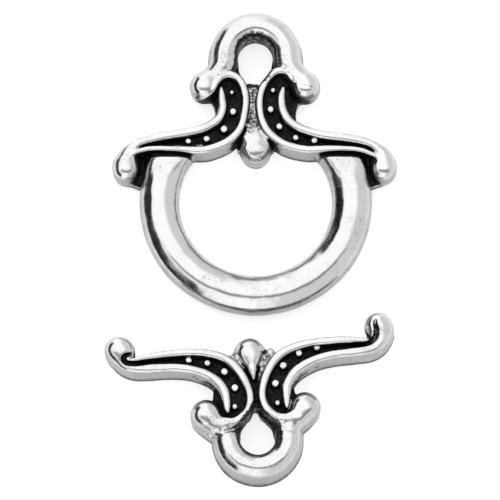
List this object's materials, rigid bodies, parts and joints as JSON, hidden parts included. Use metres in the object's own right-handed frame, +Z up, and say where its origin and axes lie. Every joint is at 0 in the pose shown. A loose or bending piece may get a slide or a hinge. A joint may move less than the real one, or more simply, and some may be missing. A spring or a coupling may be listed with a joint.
{
  "type": "toggle clasp",
  "caption": "Jewellery toggle clasp in loose cast halves: a ring with a scrolled crossbar and loop, and a scrolled bar with a loop that passes through the ring.",
  "frame": {"origin": "on the table the flat backs lie on, under the middle of both halves' common box", "axes": "+Z up from the flat backs, +Y from the bar half towards the ring half's loop, +X to the right along the crossbar"},
  "size_m": [0.0196, 0.0324, 0.0025],
  "materials": {
    "antique_silver": "polished"
  },
  "bodies": {
    "root": {"toggle_ring": "antique_silver", "toggle_bar": "antique_silver"}
  },
  "joints": []
}
